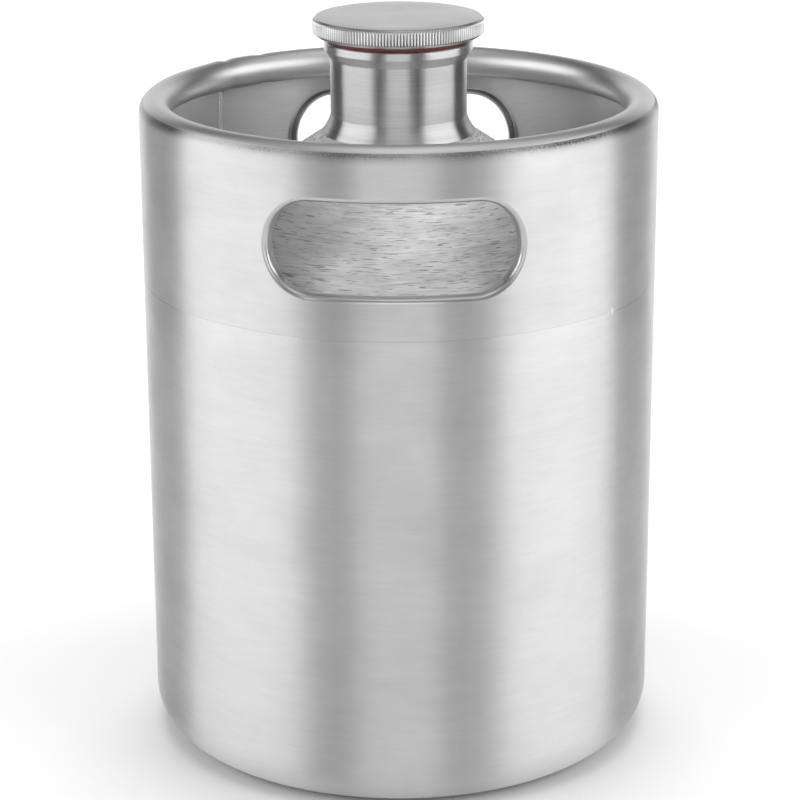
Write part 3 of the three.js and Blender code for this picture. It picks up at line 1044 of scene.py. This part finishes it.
build_base()
build_barrel()
build_shoulder()
build_collar()
build_neck()
build_cap()
build_plug()
build_seal()
build_ring_weld("girth_seam", GIRTH_Z, 0.3 * MM, 0.0, "girth_weld", cone_steel, GIRTH_MARK)
build_ring_weld("base_seam", BASE_JOINT_Z, 0.12 * MM, 0.25 * MM, "base_weld", weld_steel)
build_strip_weld("collar_seam", COLLAR_WELD, 158 * MM, BEAD_Z - BEAD_R * 0.6, "collar_seam_weld")
build_strip_weld("barrel_seam", BODY_WELD, BASE_JOINT_Z + 1 * MM, 146 * MM, "body_seam_weld")
build_neck_weld()


# ---------------------------------------------------------------------- floor and lighting
FLOOR_RINGS = (0.0, 0.3, 0.8, 1.6)
FLOOR_NEAR, FLOOR_FAR = (0.25, 0.75), (1.1, 0.96)  # distance from the axis, and paleness there


def make_floor():
    """A pale disc with painted light: paler away from the keg, where the boxes light it less."""
    verts, faces = [], []
    sides = 96
    angles = [TAU * k / sides for k in range(sides)]
    for r in FLOOR_RINGS:
        verts += [(r * math.cos(a), r * math.sin(a), 0) for a in angles]
    for i in range(len(FLOOR_RINGS) - 1):
        for k in range(sides):
            m = (k + 1) % sides
            a, b = i * sides + k, i * sides + m
            faces.append((a, a + sides, b + sides, b))
    mesh = bpy.data.meshes.new("floor")
    mesh.from_pydata(verts, [], faces)
    mesh.validate()
    n = Nodes("floor")
    place = n.add("ShaderNodeTexCoord").outputs["Object"]
    mottle = n.noise(place, 3.0, 2.0, 0.5)
    length = n.add("ShaderNodeVectorMath", operation="LENGTH")
    n.tree.links.new(place, length.inputs[0])
    out = length.outputs["Value"]
    # painted light: paler with distance, making up for the boxes' weaker light there
    far = n.ramp(out, FLOOR_NEAR[0], FLOOR_FAR[0], FLOOR_NEAR[1], FLOOR_FAR[1])
    pale = n.math("MULTIPLY", far, n.ramp(mottle, NOISE_LOW, NOISE_HIGH, 0.985, 1.0))
    n.tree.links.new(n.combine(pale, pale, pale), n.shader.inputs["Base Color"])
    n.shader.inputs["Roughness"].default_value = 0.9
    mesh.materials.append(n.material)
    floor = bpy.data.objects.new("floor", mesh)
    bpy.context.scene.collection.objects.link(floor)


def soft_box(
    name, azimuth, elevation, distance, width, height, radiance, aim_z=0.12, glossy=True
):
    """A soft box at an azimuth counted from the front, towards +X. It faces the keg. One that
    is not glossy only adds soft light and doesn't show in the steel."""
    data = bpy.data.lights.new(name, "AREA")
    data.shape = "RECTANGLE"
    data.size, data.size_y = width, height
    data.energy = radiance * width * height * math.pi
    light = bpy.data.objects.new(name, data)
    a, e = math.radians(azimuth), math.radians(elevation)
    aim = Vector((0, 0, aim_z))
    out = Vector((math.sin(a) * math.cos(e), -math.cos(a) * math.cos(e), math.sin(e)))
    light.location = aim + out * distance
    light.rotation_mode = "QUATERNION"
    light.rotation_quaternion = (-out).to_track_quat("-Z", "Y")
    light.visible_camera = False
    light.visible_glossy = glossy
    bpy.context.scene.collection.objects.link(light)


CARD_LIGHT, SWEEP_LIGHT, GLOW_LIGHT = 1.8, 1.2, 0.22
CEILING_LIGHT, ZENITH_LIGHT, ROOM_LIGHT = 0.8, 1.1, 0.02


def studio_world():
    """A dim studio: a pale sweep behind the keg, a small pale card in front of it with a faint
    glow above, a pale ceiling, and dark gaps between them. The camera sees plain white."""
    world = bpy.data.worlds.new("studio")
    bpy.context.scene.world = world
    world.use_nodes = True
    tree = world.node_tree
    background = tree.nodes["Background"]

    def math_node(operation, a, b=None):
        node = tree.nodes.new("ShaderNodeMath")
        node.operation = operation
        for index, value in enumerate((a, b)):
            if isinstance(value, (int, float)):
                node.inputs[index].default_value = value
            elif value is not None:
                tree.links.new(value, node.inputs[index])
        return node.outputs[0]

    def step(value, low, high):
        """0 below low and 1 above high, in degrees; the other way round when low > high."""
        node = tree.nodes.new("ShaderNodeMapRange")
        node.interpolation_type = "SMOOTHSTEP"
        limits = sorted((low, high))
        node.inputs["From Min"].default_value = math.radians(limits[0])
        node.inputs["From Max"].default_value = math.radians(limits[1])
        node.inputs["To Min"].default_value = 0.0 if low < high else 1.0
        node.inputs["To Max"].default_value = 1.0 if low < high else 0.0
        tree.links.new(value, node.inputs["Value"])
        return node.outputs[0]

    place = tree.nodes.new("ShaderNodeTexCoord")
    split = tree.nodes.new("ShaderNodeSeparateXYZ")
    tree.links.new(place.outputs["Generated"], split.inputs[0])
    x, y, z = split.outputs
    turn_angle = math_node("ABSOLUTE", math_node("ARCTAN2", x, math_node("MULTIPLY", y, -1)))
    rise = math_node("ARCSINE", z)
    # the ceiling is brighter towards the back and the right
    slope = math_node("ADD", math_node("MULTIPLY", x, 0.7), math_node("MULTIPLY", y, 0.25))
    overhead = math_node("ADD", slope, 0.7)
    parts = (
        (CARD_LIGHT, step(turn_angle, 21, 16), step(rise, 28, 20)),
        (SWEEP_LIGHT, step(turn_angle, 140, 148), step(rise, 32, 22)),
        (GLOW_LIGHT, step(turn_angle, 50, 38), step(rise, 24, 30)),
        (CEILING_LIGHT, overhead, step(rise, 44, 54)),
        (ZENITH_LIGHT, 1.0, step(rise, 66, 78)),
        (ROOM_LIGHT, 1.0, 1.0),
    )
    total = 0.0
    for strength, around, up in parts:
        share = math_node("MULTIPLY", math_node("MULTIPLY", around, up), strength)
        total = math_node("ADD", total, share)
    path = tree.nodes.new("ShaderNodeLightPath")
    seen = path.outputs["Is Camera Ray"]
    hidden = math_node("SUBTRACT", 1.0, seen)
    strength = math_node("ADD", math_node("MULTIPLY", total, hidden), seen)
    tree.links.new(strength, background.inputs["Strength"])
    background.inputs["Color"].default_value = (1, 1, 1, 1)


def make_light():
    studio_world()
    soft_box("left_box", -75, 24, 1.6, 1.95, 1.2, 2.75)
    soft_box("right_box", 77, 24, 1.6, 1.87, 1.2, 2.9)
    soft_box("top_box", 0, 88, 1.0, 0.7, 0.7, 2.3, glossy=False)
    soft_box("floor_box", 180, 48, 1.75, 1.2, 1.0, 3.15, aim_z=0.0, glossy=False)
    bpy.context.scene.view_settings.view_transform = "Standard"


make_floor()
make_light()
